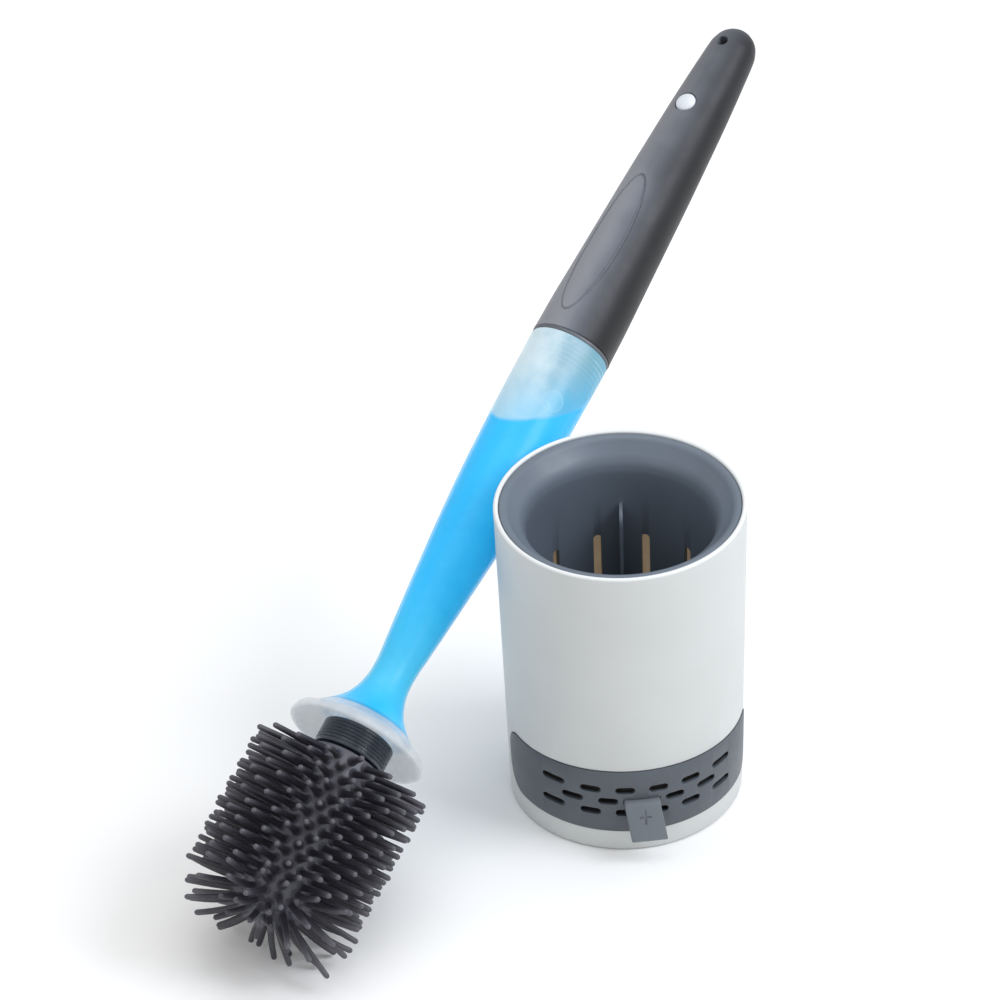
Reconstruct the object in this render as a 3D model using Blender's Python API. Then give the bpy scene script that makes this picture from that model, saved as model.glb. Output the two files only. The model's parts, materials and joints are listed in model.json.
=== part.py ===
"""Toilet brush holder with its refillable silicone brush.

Units are metres, +Z up. The origin is on the floor, at the middle of the whole set's footprint. The holder stands
at HOLDER_AT with its drip tray facing -Y. The brush leans beside it: its head rests on the floor and its bottle
passes just clear of the holder's side. Every part is made about the holder's centre, and main() moves the set.
Sizes below are in millimetres and are multiplied by MM when geometry is made.
"""
import math

import bpy
import bmesh
from mathutils import Matrix, Vector

MM = 0.001

HOLDER_AT = (48.354, -51.497)   # the holder's centre on the floor

# ---- holder -------------------------------------------------------------------------------------------
H_SHELL = 143.6        # top of the white rim
R_TOP = 52.0           # outer radius at the rim
R_BOT = 48.7           # outer radius at the floor
WALL = 2.0
Z_FOOT = 0.5           # the shell's bottom edge, held off the floor by the rubber feet
LEDGE_Z = 139.4        # shelf inside the rim that carries the liner's flange
OPEN_Z0, OPEN_Z1 = 10.3, 40.9      # tray opening, bottom and top
OPEN_RISE = 3.7        # the top edge arches up towards the front
OPEN_Y = -6.0          # the opening covers most of the front half of the shell
OPEN_R_TOP, OPEN_R_BOT = 4.5, 12.0
TRAY_GAP = 0.4
LINER_TURN = -7.7      # degrees, the liner's slots and ribs against the tray's axis
THROAT_R = 38.8        # inner radius of the liner's wall
LINER_FLOOR = 44.0
N_SLOTS = 12
SLOT_W = 3.6
SLOT_TOP, SLOT_BOT = 99.4, 52.0
RIB_T, RIB_DEPTH, RIB_TOP = 1.35, 8.0, 112.0
VENT_PITCH = 13.93     # across the front: every vent is moulded straight back
VENT_L, VENT_H = 8.1, 2.8
VENT_ROWS = (32.4, 26.5, 20.6)
TAB_W, TAB_T, TAB_Z = 15.0, 2.0, 26.5
FOOT_R, FOOT_H = 4.5, 1.58
FOOT_RING = 33.0

# ---- brush, along its own axis; zero is the open end of the bottle's skirt ------------------------------
BRUSH_ORIGIN = (-116.667, -39.735, 64.048)
BRUSH_AXIS = (0.55442, 0.70822, 0.43708)
BRUSH_FRONT = (-0.39178, -0.24125, 0.88787)   # the side of the handle that carries the button
LIQUID_UP = (0.0602, 0.3366, 0.9397)
LIQUID_AT = 169.5
CORE_R = 16.0
BRISTLE_TIP_R = 39.2
BRISTLE_R = 1.25
BRISTLES_ROUND = 14
BUTTON_U = 319.5
BUTTON_R = 4.5
HANG_U, HANG_R = 353.9, 2.5
PANEL_U, PANEL_LEN, PANEL_W = 243.5, 71.5, 15.5
PANEL_LINE, PANEL_DEPTH = 1.1, 0.6

BOTTLE_OUT = [(30.0, 0.7), (29.2, 3.7), (25.8, 5.6), (21.6, 9.0), (17.8, 12.4), (14.6, 16.0), (12.2, 19.8),
              (10.4, 24.2), (9.3, 29.0), (8.9, 34.2), (9.1, 40.0), (9.8, 47.0), (11.5, 65.0), (13.2, 85.0),
              (14.95, 107.0), (16.3, 131.0), (17.1, 158.0), (17.6, 197.5)]
HANDLE_OUT = [(17.7, 199.3), (17.6, 203.0), (17.35, 217.0), (16.6, 236.0), (15.7, 260.0), (14.9, 281.0),
              (14.0, 300.0), (13.1, 318.0), (12.0, 335.0), (10.6, 353.0), (9.8, 357.4), (8.3, 360.9),
              (6.0, 363.4), (3.2, 365.0), (0.0, 365.5)]

ROOT = bpy.context.scene.collection


def clear_scene():
    for ob in list(bpy.data.objects):
        bpy.data.objects.remove(ob, do_unlink=True)
    for me in list(bpy.data.meshes):
        bpy.data.meshes.remove(me)


def material(name, colour, rough=0.5, metal=0.0, alpha=1.0):
    mat = bpy.data.materials.new(name)
    mat.use_nodes = True
    bsdf = mat.node_tree.nodes["Principled BSDF"]
    bsdf.inputs["Base Color"].default_value = (*colour, 1.0)
    bsdf.inputs["Roughness"].default_value = rough
    bsdf.inputs["Metallic"].default_value = metal
    bsdf.inputs["Alpha"].default_value = alpha
    mat.diffuse_color = (*colour, alpha)
    return mat


def make_object(name, bm, mat=None, smooth=40.0):
    bmesh.ops.remove_doubles(bm, verts=bm.verts, dist=1e-7)
    bmesh.ops.recalc_face_normals(bm, faces=bm.faces)
    me = bpy.data.meshes.new(name)
    bm.to_mesh(me)
    bm.free()
    ob = bpy.data.objects.new(name, me)
    ROOT.objects.link(ob)
    if mat is not None:
        me.materials.append(mat)
    if smooth:
        me.shade_smooth()
        me.set_sharp_from_angle(angle=math.radians(smooth))
    return ob


def lathe_bm(profile, seg=48, closed=True):
    """Solid of revolution about Z from (r, z) points in mm; points with r == 0 sit on the axis."""
    bm = bmesh.new()
    rings = []
    for r, z in profile:
        if r <= 1e-9:
            rings.append([bm.verts.new((0.0, 0.0, z * MM))])
        else:
            ring = []
            for i in range(seg):
                a = 2 * math.pi * i / seg
                ring.append(bm.verts.new((r * MM * math.cos(a), r * MM * math.sin(a), z * MM)))
            rings.append(ring)
    pairs = list(zip(rings, rings[1:]))
    if closed:
        pairs.append((rings[-1], rings[0]))
    for lo, hi in pairs:
        if len(lo) == 1 and len(hi) == 1:
            continue
        for i in range(seg):
            j = (i + 1) % seg
            if len(lo) == 1:
                bm.faces.new((lo[0], hi[j], hi[i]))
            elif len(hi) == 1:
                bm.faces.new((lo[i], lo[j], hi[0]))
            else:
                bm.faces.new((lo[i], lo[j], hi[j], hi[i]))
    return bm


def prism_bm(outline, axis, lo, hi):
    """Extrude a closed 2-D outline (mm) along 'X', 'Y' or 'Z' from lo to hi (mm)."""
    bm = bmesh.new()

    def place(p, t):
        if axis == "X":
            return Vector((t, p[0], p[1])) * MM
        if axis == "Y":
            return Vector((p[0], t, p[1])) * MM
        return Vector((p[0], p[1], t)) * MM

    a = [bm.verts.new(place(p, lo)) for p in outline]
    b = [bm.verts.new(place(p, hi)) for p in outline]
    n = len(outline)
    bm.faces.new(a)
    bm.faces.new(list(reversed(b)))
    for i in range(n):
        j = (i + 1) % n
        bm.faces.new((a[i], b[i], b[j], a[j]))
    return bm


def arc(cx, cy, r, a0, a1, n):
    return [(cx + r * math.cos(math.radians(a0 + (a1 - a0) * i / n)),
             cy + r * math.sin(math.radians(a0 + (a1 - a0) * i / n))) for i in range(n + 1)]


def stadium(w, h, n=6, cx=0.0, cy=0.0):
    """Slot outline, w across and h high, with fully rounded short ends."""
    if w >= h:
        r, s = h / 2, (w - h) / 2
        return arc(cx + s, cy, r, -90, 90, n) + arc(cx - s, cy, r, 90, 270, n)
    r, s = w / 2, (h - w) / 2
    return arc(cx, cy + s, r, 0, 180, n) + arc(cx, cy - s, r, 180, 360, n)


def circle(r, n=24, cx=0.0, cy=0.0):
    return [(cx + r * math.cos(2 * math.pi * i / n), cy + r * math.sin(2 * math.pi * i / n)) for i in range(n)]


def merge(target, source, matrix=None):
    """Copy one bmesh's geometry into another and free the source."""
    me = bpy.data.meshes.new("tmp")
    source.to_mesh(me)
    source.free()
    if matrix is not None:
        me.transform(matrix)
    target.from_mesh(me)
    bpy.data.meshes.remove(me)


def turn(deg):
    return Matrix.Rotation(math.radians(deg), 4, "Z")


def boolean(ob, cutter, op="DIFFERENCE"):
    mod = ob.modifiers.new(op.lower(), "BOOLEAN")
    mod.operation = op
    mod.solver = "EXACT"
    mod.object = cutter
    cutter.hide_render = True
    cutter.display_type = "WIRE"


def cut_tool(name, bm):
    return make_object("tool_" + name, bm, None, smooth=0)


def shell_r(z):
    return R_BOT + (R_TOP - R_BOT) * z / H_SHELL


def interp(table, u):
    """Radius at height u in a list of (r, u) points."""
    if u <= table[0][1]:
        return table[0][0]
    for (r0, u0), (r1, u1) in zip(table, table[1:]):
        if u <= u1:
            return r0 + (r1 - r0) * (u - u0) / (u1 - u0)
    return table[-1][0]


def opening_outline(grow):
    """Side view (y, z) of the tray opening; grow < 0 gives the tray front that fills it."""
    y1 = OPEN_Y + grow
    z0, z1 = OPEN_Z0 - grow, OPEN_Z1 + grow
    rt, rb = OPEN_R_TOP + grow, OPEN_R_BOT + grow
    return ([(-80.0, z0)] + arc(y1 - rb, z0 + rb, rb, -90, 0, 10)
            + arc(y1 - rt, z1 - rt, rt, 0, 90, 8) + [(-80.0, z1 + OPEN_RISE)])


# ---- holder parts ---------------------------------------------------------------------------------------
def build_outer_shell(mats):
    zt = H_SHELL
    prof = [(R_BOT - WALL, Z_FOOT), (R_BOT - 0.5, Z_FOOT), (R_BOT, Z_FOOT + 0.5),
            (R_TOP - 0.03, zt - 1.4),
            (R_TOP - 0.3, zt - 0.6), (R_TOP - 1.0, zt), (R_TOP - 1.7, zt - 0.25),
            (R_TOP - 2.0, zt - 0.9), (R_TOP - 2.0, LEDGE_Z), (47.8, LEDGE_Z), (47.8, LEDGE_Z - 2.0),
            (shell_r(133.6) - WALL, 133.6)]
    ob = make_object("outer_shell", lathe_bm(prof, 72), mats["shell"])
    boolean(ob, cut_tool("tray_opening", prism_bm(opening_outline(0.0), "X", -70, 70)))
    return ob


def build_inner_liner(mats):
    t = THROAT_R
    prof = [(49.75, 139.6), (49.75, 141.6), (49.2, 142.0), (46.6, 140.8), (43.4, 138.6),
            (41.2, 136.8), (39.8, 134.8), (39.0, 132.4), (t, 129.6),
            (t - 0.4, 47.0), (t - 2.3, LINER_FLOOR), (0.0, LINER_FLOOR), (0.0, 42.0),
            (t - 1.0, 42.0), (t + 1.4, 46.0), (t + 1.8, 129.6),
            (t + 2.6, 133.6), (t + 5.0, 136.4), (47.4, 139.6)]
    ob = make_object("inner_liner", lathe_bm(prof, 60), mats["liner"])
    slots = bmesh.new()
    for i in range(N_SLOTS):
        one = prism_bm(stadium(SLOT_W, SLOT_TOP - SLOT_BOT, 4, 0.0, (SLOT_TOP + SLOT_BOT) / 2), "Y", 30, 47)
        merge(slots, one, turn(LINER_TURN + 15 + i * 360 / N_SLOTS))
    for ring, count in ((0.0, 1), (12.0, 6), (24.0, 6)):
        for i in range(count):
            hole = prism_bm(circle(3.2, 8, ring, 0.0), "Z", 40, 45)
            merge(slots, hole, turn(i * 360 / count + 1.7))
    boolean(ob, cut_tool("liner_slots", slots))
    ribs = bmesh.new()
    for i in range(3):
        outline = [(t + 0.7, 49.0), (t + 0.7, RIB_TOP + 2.4), (t - 0.4, RIB_TOP + 2.4),
                   (t - RIB_DEPTH + 1.5, RIB_TOP), (t - RIB_DEPTH, RIB_TOP - 2.0),
                   (t - RIB_DEPTH - 1.0, LINER_FLOOR - 1.1), (t - 3.0, LINER_FLOOR - 1.1)]
        merge(ribs, prism_bm(outline, "X", -RIB_T / 2, RIB_T / 2), turn(LINER_TURN + i * 120))
    boolean(ob, cut_tool("liner_ribs", ribs), "UNION")
    return ob


def build_base_plate(mats):
    prof = [(0.0, 7.4), (43.4, 7.4), (43.8, 7.0), (43.8, 0.7), (46.2, 0.7), (46.62, 1.1), (46.62, 9.7),
            (46.3, 10.0), (0.0, 10.0)]
    ob = make_object("base_plate", lathe_bm(prof, 48), mats["base"])
    adds = bmesh.new()
    for i in range(4):
        merge(adds, prism_bm(circle(FOOT_R + 1.3, 16, FOOT_RING, 0.0), "Z", 1.6, 8.0), turn(45 + 90 * i))
    for x in (-25.0, 25.0):
        merge(adds, prism_bm([(x - 1, -36), (x + 1, -36), (x + 1, 36), (x - 1, 36)], "Z", 9.0, 10.44))
    boolean(ob, cut_tool("base_bosses", adds), "UNION")
    return ob


def build_foot(index, mats):
    prof = [(0.0, 0.0), (FOOT_R - 0.3, 0.0), (FOOT_R, 0.3), (FOOT_R, FOOT_H), (0.0, FOOT_H)]
    ob = make_object("rubber_foot_%d" % (index + 1), lathe_bm(prof, 14, False), mats["foot"])
    a = math.radians(45 + 90 * index)
    ob.location = (FOOT_RING * MM * math.cos(a), FOOT_RING * MM * math.sin(a), 0.0)
    return ob


def build_drip_tray(mats):
    z0, zt = 10.5, 24.0
    cup = [(0.0, z0), (43.2, z0), (44.6, z0 + 1.0), (45.2, z0 + 2.2), (45.2, zt), (43.6, zt), (43.6, z0 + 3.2),
           (42.2, z0 + 1.8), (0.0, z0 + 1.8)]
    ob = make_object("drip_tray", lathe_bm(cup, 64), mats["tray"])
    zb, zh = OPEN_Z0 - 2.0, OPEN_Z1 + 4.0
    band = [(44.4, zb), (shell_r(zb), zb), (shell_r(zh), zh), (shell_r(zh) - 2.0, zh), (shell_r(27) - 2.0, 27.0),
            (44.4, 23.2)]
    front = cut_tool("tray_front", lathe_bm(band, 80))
    boolean(front, cut_tool("tray_front_trim", prism_bm(opening_outline(-TRAY_GAP), "X", -70, 70)), "INTERSECT")
    boolean(ob, front, "UNION")
    holes = bmesh.new()
    for row, z in enumerate(VENT_ROWS):
        steps = (-2, -1, 1, 2) if row == 1 else (-2.5, -1.5, -0.5, 0.5, 1.5, 2.5)
        for s in steps:
            x = s * VENT_PITCH
            merge(holes, prism_bm(stadium(VENT_L, VENT_H, 3, x, z), "Y", -52, 1.5 - math.sqrt(43.0 ** 2 - x * x)))
    slit = [(-TAB_W / 2 - 0.3, TAB_Z - TAB_T / 2 - 0.3), (TAB_W / 2 + 0.3, TAB_Z - TAB_T / 2 - 0.3),
            (TAB_W / 2 + 0.3, TAB_Z + TAB_T / 2 + 0.3), (-TAB_W / 2 - 0.3, TAB_Z + TAB_T / 2 + 0.3)]
    merge(holes, prism_bm(slit, "Y", -52, -40))
    boolean(ob, cut_tool("tray_vents", holes))
    return ob


def build_pull_tab(mats):
    """A soft strip that leaves a slit in the tray's front and curls down; a wide bar behind the wall holds it."""
    t, z = TAB_T, TAB_Z
    r = 2.4
    yc, zc = -49.8, z - r
    top = [(-43.2, z + t / 2)] + arc(yc, zc, r + t / 2, 90, 160, 7)
    low = arc(yc, zc, r - t / 2, 160, 90, 7) + [(-43.2, z - t / 2)]
    tip_out, tip_in = (-57.84, 11.94), (-55.96, 11.26)
    ob = make_object("pull_tab", prism_bm(top + [tip_out, tip_in] + low, "X", -TAB_W / 2, TAB_W / 2), mats["tab"])
    bar = [(-44.4, z - 1.5), (-42.4, z - 1.5), (-42.4, z + 2.2), (-44.4, z + 2.2)]
    boolean(ob, cut_tool("tab_bar", prism_bm(bar, "X", -TAB_W / 2 - 2.5, TAB_W / 2 + 2.5)), "UNION")
    return ob


# ---- brush parts, built about their own +Z axis ---------------------------------------------------------
def build_bottle(mats):
    inner = [(r - 1.7, u) for r, u in BOTTLE_OUT if 18.0 < u < 197.0]
    prof = ([(27.9, 0.0), (29.5, 0.0)] + BOTTLE_OUT + [(15.9, 197.5)] + inner[::-1]
            + [(12.6, 16.4), (14.6, 13.4), (14.2, 11.8), (2.0, 11.8), (2.0, 9.4), (7.4, 9.4), (7.4, -2.5),
               (12.0, -2.5), (12.0, 4.6), (13.2, 5.0), (13.2, 8.8), (16.4, 8.8), (19.6, 7.7), (23.0, 5.3),
               (27.5, 1.7)])
    return make_object("bottle", lathe_bm(prof, 40), mats["bottle"])


def build_liquid(mats, frame):
    gap = 0.12
    inner = [(r - 1.7 - gap, u) for r, u in BOTTLE_OUT if 18.0 < u < 197.0]
    prof = ([(0.0, 11.8 + gap), (13.95, 11.8 + gap), (14.35, 13.35), (12.45, 16.2)] + inner
            + [(15.6, 180.0), (0.0, 180.0)])
    ob = make_object("cleaning_liquid", lathe_bm(prof, 40), mats["liquid"])
    up = (frame.to_3x3().inverted() @ Vector(LIQUID_UP)).normalized()
    rot = up.to_track_quat("Z", "Y").to_matrix().to_4x4()
    box = bmesh.new()
    side = 80.0
    merge(box, prism_bm([(-side, -side), (side, -side), (side, side), (-side, side)], "Z", 0, side))
    tool = cut_tool("liquid_level", box)
    tool.matrix_world = Matrix.Translation(Vector((0, 0, LIQUID_AT * MM))) @ rot
    boolean(ob, tool)
    return ob, tool


def build_outlet_valve(mats):
    prof = [(1.6, 9.2), (7.2, 9.2), (7.2, 6.2), (4.6, 5.7), (4.2, 2.6), (2.6, -1.4), (1.3, -1.7), (1.3, 2.6),
            (1.6, 5.4)]
    return make_object("outlet_valve", lathe_bm(prof, 24), mats["silicone"])


def build_handle_seal(mats):
    prof = [(15.5, 197.7), (17.5, 197.7), (17.5, 199.1), (15.5, 199.1)]
    return make_object("handle_seal_ring", lathe_bm(prof, 40), mats["seal"])


def build_handle_insert(mats):
    """Hollow screw plug: the handle holds its upper half, and its thread goes down inside the bottle's mouth."""
    prof = [(12.8, 181.0), (14.4, 181.0), (15.0, 181.6)]
    for u in (185.5, 190.5):
        prof += [(15.0, u - 0.8), (15.6, u), (15.0, u + 0.8)]
    prof += [(15.0, 211.7), (12.8, 211.7)]
    return make_object("handle_screw_plug", lathe_bm(prof, 28), mats["plug"])


def build_handle(mats):
    prof = HANDLE_OUT + [(0.0, 348.5), (5.0, 348.0), (8.2, 344.0), (10.5, 321.0),
                         (12.4, 288.0), (13.9, 241.0), (14.2, 214.0), (15.1, 212.0), (15.1, 199.3)]
    ob = make_object("handle_shell", lathe_bm(prof, 40), mats["handle"])
    cuts = bmesh.new()
    merge(cuts, prism_bm(circle(BUTTON_R + 0.35, 24, 0.0, BUTTON_U), "X", 2.0, 20.0))
    merge(cuts, prism_bm(circle(HANG_R, 16, 0.0, HANG_U), "X", -20.0, 20.0))
    n = 40
    rings = []
    for i in range(n):
        a = 2 * math.pi * i / n
        ring = []
        for off, top in ((-0.5, 0), (0.5, 0), (0.5, 1), (-0.5, 1)):
            y = (PANEL_W / 2 + off * PANEL_LINE) * math.cos(a)
            u = PANEL_U + (PANEL_LEN / 2 + off * PANEL_LINE) * math.sin(a)
            x = math.sqrt(interp(HANDLE_OUT, u) ** 2 - y * y)
            x = x + 1.5 if top else x - PANEL_DEPTH
            ring.append(cuts.verts.new((x * MM, y * MM, u * MM)))
        rings.append(ring)
    for i in range(n):
        p, q = rings[i], rings[(i + 1) % n]
        for k in range(4):
            m = (k + 1) % 4
            cuts.faces.new((p[k], p[m], q[m], q[k]))
    boolean(ob, cut_tool("handle_cuts", cuts))
    return ob


def across(profile, seg, name, mat):
    """A turned piece whose axis runs across the handle at the button, along +X."""
    bm = lathe_bm(profile, seg)
    bmesh.ops.rotate(bm, verts=bm.verts, cent=(0, 0, 0), matrix=Matrix.Rotation(math.radians(90), 3, "Y"))
    ob = make_object(name, bm, mat)
    ob.location = (0, 0, BUTTON_U * MM)
    return ob


def build_button(mats):
    r = BUTTON_R
    prof = [(0.0, 6.9), (5.4, 6.9), (5.6, 7.1), (5.6, 7.9), (5.4, 8.1), (r, 8.1), (r, 11.9), (r - 0.5, 12.7),
            (r - 1.4, 13.3), (r - 2.8, 13.65), (0.0, 13.75)]
    return across(prof, 24, "button_cap", mats["button"])


def build_valve_stem(mats):
    prof = [(0.0, -3.6), (1.6, -3.6), (1.6, -2.4), (1.2, -2.4), (1.2, -1.3), (1.6, -1.3), (1.6, 0.4), (1.2, 0.8),
            (1.2, 6.85), (0.0, 6.85)]
    return across(prof, 12, "valve_stem", mats["plug"])


def build_valve_ring(mats):
    prof = [(1.78 + 0.5 * math.cos(math.radians(a)), -1.85 + 0.5 * math.sin(math.radians(a)))
            for a in range(0, 360, 60)]
    return across(prof, 18, "valve_o_ring", mats["silicone"])


def build_spring(mats):
    """Compression spring between the button and the air valve, wound as one closed wire."""
    turns, per, wire, rad = 5.5, 10, 0.28, 2.95
    x0, x1 = -2.4, 6.5
    bm = bmesh.new()
    n = int(turns * per)
    rings = []
    for i in range(n + 1):
        s = i / n
        a = 2 * math.pi * turns * s
        c = Vector((x0 + (x1 - x0) * s, rad * math.cos(a), rad * math.sin(a)))
        rad_dir = Vector((0, math.cos(a), math.sin(a)))
        ring = []
        for k in range(4):
            b = 2 * math.pi * k / 4
            ring.append(bm.verts.new((c + wire * (math.cos(b) * rad_dir + Vector((math.sin(b), 0, 0)))) * MM))
        rings.append(ring)
    for p, q in zip(rings, rings[1:]):
        for k in range(4):
            m = (k + 1) % 4
            bm.faces.new((p[k], p[m], q[m], q[k]))
    bm.faces.new(rings[0])
    bm.faces.new(rings[-1][::-1])
    ob = make_object("button_spring", bm, mats["steel"])
    ob.location = (0, 0, BUTTON_U * MM)
    return ob


def build_valve_housing(mats):
    prof = [(0.0, -8.4), (4.6, -8.4), (5.0, -8.0), (5.0, 2.2), (3.7, 2.2), (3.7, -5.4), (2.3, -5.4), (2.3, -6.9),
            (0.0, -6.9)]
    return across(prof, 24, "valve_housing", mats["plug"])


def build_head_collar(mats):
    prof = [(5.0, -7.2), (15.0, -7.2), (15.6, -6.6)]
    for u in (-3.5, 0.5):
        prof += [(15.6, u - 0.5), (15.1, u), (15.6, u + 0.5)]
    prof += [(15.6, 3.4), (15.0, 4.0), (12.3, 4.0), (12.3, -5.2), (5.0, -5.2)]
    return make_object("head_collar", lathe_bm(prof, 32), mats["collar"])


def build_head_washer(mats):
    prof = [(8.2, -4.9), (11.9, -4.9), (11.9, -2.8), (8.2, -2.8)]
    return make_object("head_washer", lathe_bm(prof, 32), mats["silicone"])


def build_head_core(mats):
    prof = [(2.4, -7.5), (9.6, -7.5), (10.6, -8.4), (10.6, -56.0), (8.4, -61.0), (4.6, -63.4), (0.0, -64.2),
            (0.0, -58.0), (2.4, -57.0)]
    return make_object("head_core", lathe_bm(prof, 24), mats["plug"])


def bristle(bm, cell, origin, direction, length):
    """Grow one bristle out of a removed cell of the core. cell is its corner loop."""
    d = direction.normalized()
    side = Vector((-origin.y, origin.x, 0.0))
    side = side.normalized() if side.length > 1e-6 else Vector((0, 1, 0))
    up = d.cross(side).normalized()
    side = up.cross(d).normalized()
    c0 = cell[0].co - origin
    phase = math.atan2(c0.dot(up), c0.dot(side))
    m = 5
    rings = []
    for dist, rad in ((0.8, 1.15), (length, 0.85)):
        rings.append([bm.verts.new(origin + d * dist * MM + BRISTLE_R * rad * MM
                                   * (math.cos(phase + 2 * math.pi * k / m) * side
                                      + math.sin(phase + 2 * math.pi * k / m) * up)) for k in range(m)])
    base = rings[0]
    n = len(cell)

    def angle(v, o):
        w = v.co - o
        return (math.atan2(w.dot(up), w.dot(side)) - phase) % (2 * math.pi)

    turned = sorted(cell, key=lambda v: angle(v, origin) if v is not cell[0] else 0.0)
    i = j = 0
    while i < n or j < m:
        ai = angle(turned[(i + 1) % n], origin) if i + 1 < n else 2 * math.pi
        aj = 2 * math.pi * (j + 1) / m
        if j >= m or (i < n and ai <= aj):
            bm.faces.new((turned[i % n], turned[(i + 1) % n], base[j % m]))
            i += 1
        else:
            bm.faces.new((turned[i % n], base[(j + 1) % m], base[j % m]))
            j += 1
    for p, q in zip(rings, rings[1:]):
        for k in range(m):
            h = (k + 1) % m
            bm.faces.new((p[k], p[h], q[h], q[k]))
    bm.faces.new(rings[-1])


def build_bristle_sleeve(mats):
    """One moulded silicone sleeve: a thick core with staggered rows of round bristles, closed over the tip."""
    seg = 2 * BRISTLES_ROUND
    rows = 10
    u_top, u_cyl = -7.8, -57.0
    first = -9.0
    step = (first - u_cyl) / rows
    levels = [(CORE_R, first - step * i) for i in range(rows + 1)]
    dome_c = u_cyl
    for a in (17.0, 34.0, 51.0, 68.0):
        levels.append((CORE_R * math.cos(math.radians(a)), dome_c - 14.5 * math.sin(math.radians(a))))
    inner = [(11.2, -57.0), (8.8, -62.4), (4.8, -64.6)]
    bm = bmesh.new()

    def ring(r, u, count=seg):
        return [bm.verts.new((r * MM * math.cos(2 * math.pi * i / count), r * MM * math.sin(2 * math.pi * i / count),
                              u * MM)) for i in range(count)]

    top_in = ring(11.2, u_top)
    top_out = ring(CORE_R - 0.8, u_top)
    outer = [ring(r, u) for r, u in levels]
    inside = [ring(r, u) for r, u in inner]
    bottom = bm.verts.new((0, 0, -65.2 * MM))

    def band(a, b):
        for i in range(seg):
            j = (i + 1) % seg
            bm.faces.new((a[i], a[j], b[j], b[i]))

    band(top_in, top_out)
    band(top_out, outer[0])
    band(top_in, inside[0])
    band(inside[0], inside[1])
    band(inside[1], inside[2])
    for i in range(seg):
        bm.faces.new((inside[2][i], inside[2][(i + 1) % seg], bottom))
    n_dome = len(levels) - 1 - rows
    for k in range(len(levels) - 1):
        a, b = outer[k], outer[k + 1]
        every = 2 if k <= rows else (4 if k == rows + 1 else 5 if k < rows + n_dome - 1 else 8)
        shift = k % 2
        for i in range(seg):
            j = (i + 1) % seg
            loop = [a[i], a[j], b[j], b[i]]
            if (i + shift) % every or (every == 5 and i > seg - 4):
                bm.faces.new(loop)
                continue
            mid = sum((v.co for v in loop), Vector()) / 4
            radial = Vector((mid.x, mid.y, 0)).normalized()
            if k < rows:
                lean = 0.02 * (rows / 2 - k)
                d = radial + Vector((0, 0, lean))
                length = BRISTLE_TIP_R - CORE_R
            else:
                tilt = math.radians(17.0 * (k - rows) + 8.5)
                d = radial * math.cos(tilt) - Vector((0, 0, 1)) * math.sin(tilt)
                length = BRISTLE_TIP_R - CORE_R + 0.5
            bristle(bm, loop, mid, d, length)
    last = outer[-1]
    tip = [last[i] for i in range(seg)]
    centre = Vector((0, 0, sum(v.co.z for v in tip) / seg - 0.0004))
    cap = [bm.verts.new((v.co.x * 0.45, v.co.y * 0.45, centre.z)) for v in tip[::4]]
    m = len(cap)
    for i in range(m):
        j = (i + 1) % m
        block = tip[4 * i:4 * i + 4] + [tip[(4 * i + 4) % seg]]
        for p, q in zip(block[:2], block[1:3]):
            bm.faces.new((p, q, cap[i]))
        bm.faces.new((block[2], cap[j], cap[i]))
        for p, q in zip(block[2:4], block[3:5]):
            bm.faces.new((p, q, cap[j]))
    bristle(bm, cap, Vector((0, 0, centre.z)), Vector((0, 0, -1)), BRISTLE_TIP_R - CORE_R - 1.0)
    return make_object("bristle_sleeve", bm, mats["bristle"], smooth=50)


def brush_frame():
    z = Vector(BRUSH_AXIS).normalized()
    x = Vector(BRUSH_FRONT)
    x = (x - z * x.dot(z)).normalized()
    y = z.cross(x)
    rot = Matrix((x, y, z)).transposed().to_4x4()
    return Matrix.Translation(Vector(BRUSH_ORIGIN) * MM) @ rot


def make_materials():
    table = {
        "shell": ("white_abs", (0.86, 0.87, 0.86), 0.45),
        "liner": ("grey_pp", (0.16, 0.18, 0.2), 0.5),
        "base": ("white_abs_base", (0.86, 0.87, 0.86), 0.5),
        "foot": ("foot_rubber", (0.06, 0.06, 0.06), 0.8),
        "tray": ("grey_pp_tray", (0.14, 0.16, 0.18), 0.5),
        "tab": ("grey_tpe_tab", (0.22, 0.24, 0.26), 0.6),
        "bottle": ("frosted_pp", (0.8, 0.87, 0.9), 0.35),
        "liquid": ("blue_cleaner", (0.02, 0.45, 0.9), 0.1),
        "handle": ("grey_pp_handle", (0.12, 0.12, 0.13), 0.5),
        "button": ("white_button", (0.85, 0.87, 0.9), 0.4),
        "plug": ("clear_pp", (0.7, 0.75, 0.78), 0.4),
        "seal": ("seal_tpe", (0.6, 0.63, 0.66), 0.6),
        "silicone": ("soft_silicone", (0.65, 0.66, 0.66), 0.6),
        "collar": ("dark_pp_collar", (0.03, 0.035, 0.04), 0.45),
        "bristle": ("dark_silicone", (0.035, 0.03, 0.04), 0.55),
        "steel": ("spring_steel", (0.6, 0.6, 0.62), 0.3),
    }
    out = {}
    for key, (name, col, rough) in table.items():
        alpha = 0.45 if key == "bottle" else 0.85 if key == "liquid" else 1.0
        out[key] = material(name, col, rough, 1.0 if key == "steel" else 0.0, alpha)
    return out


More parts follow.
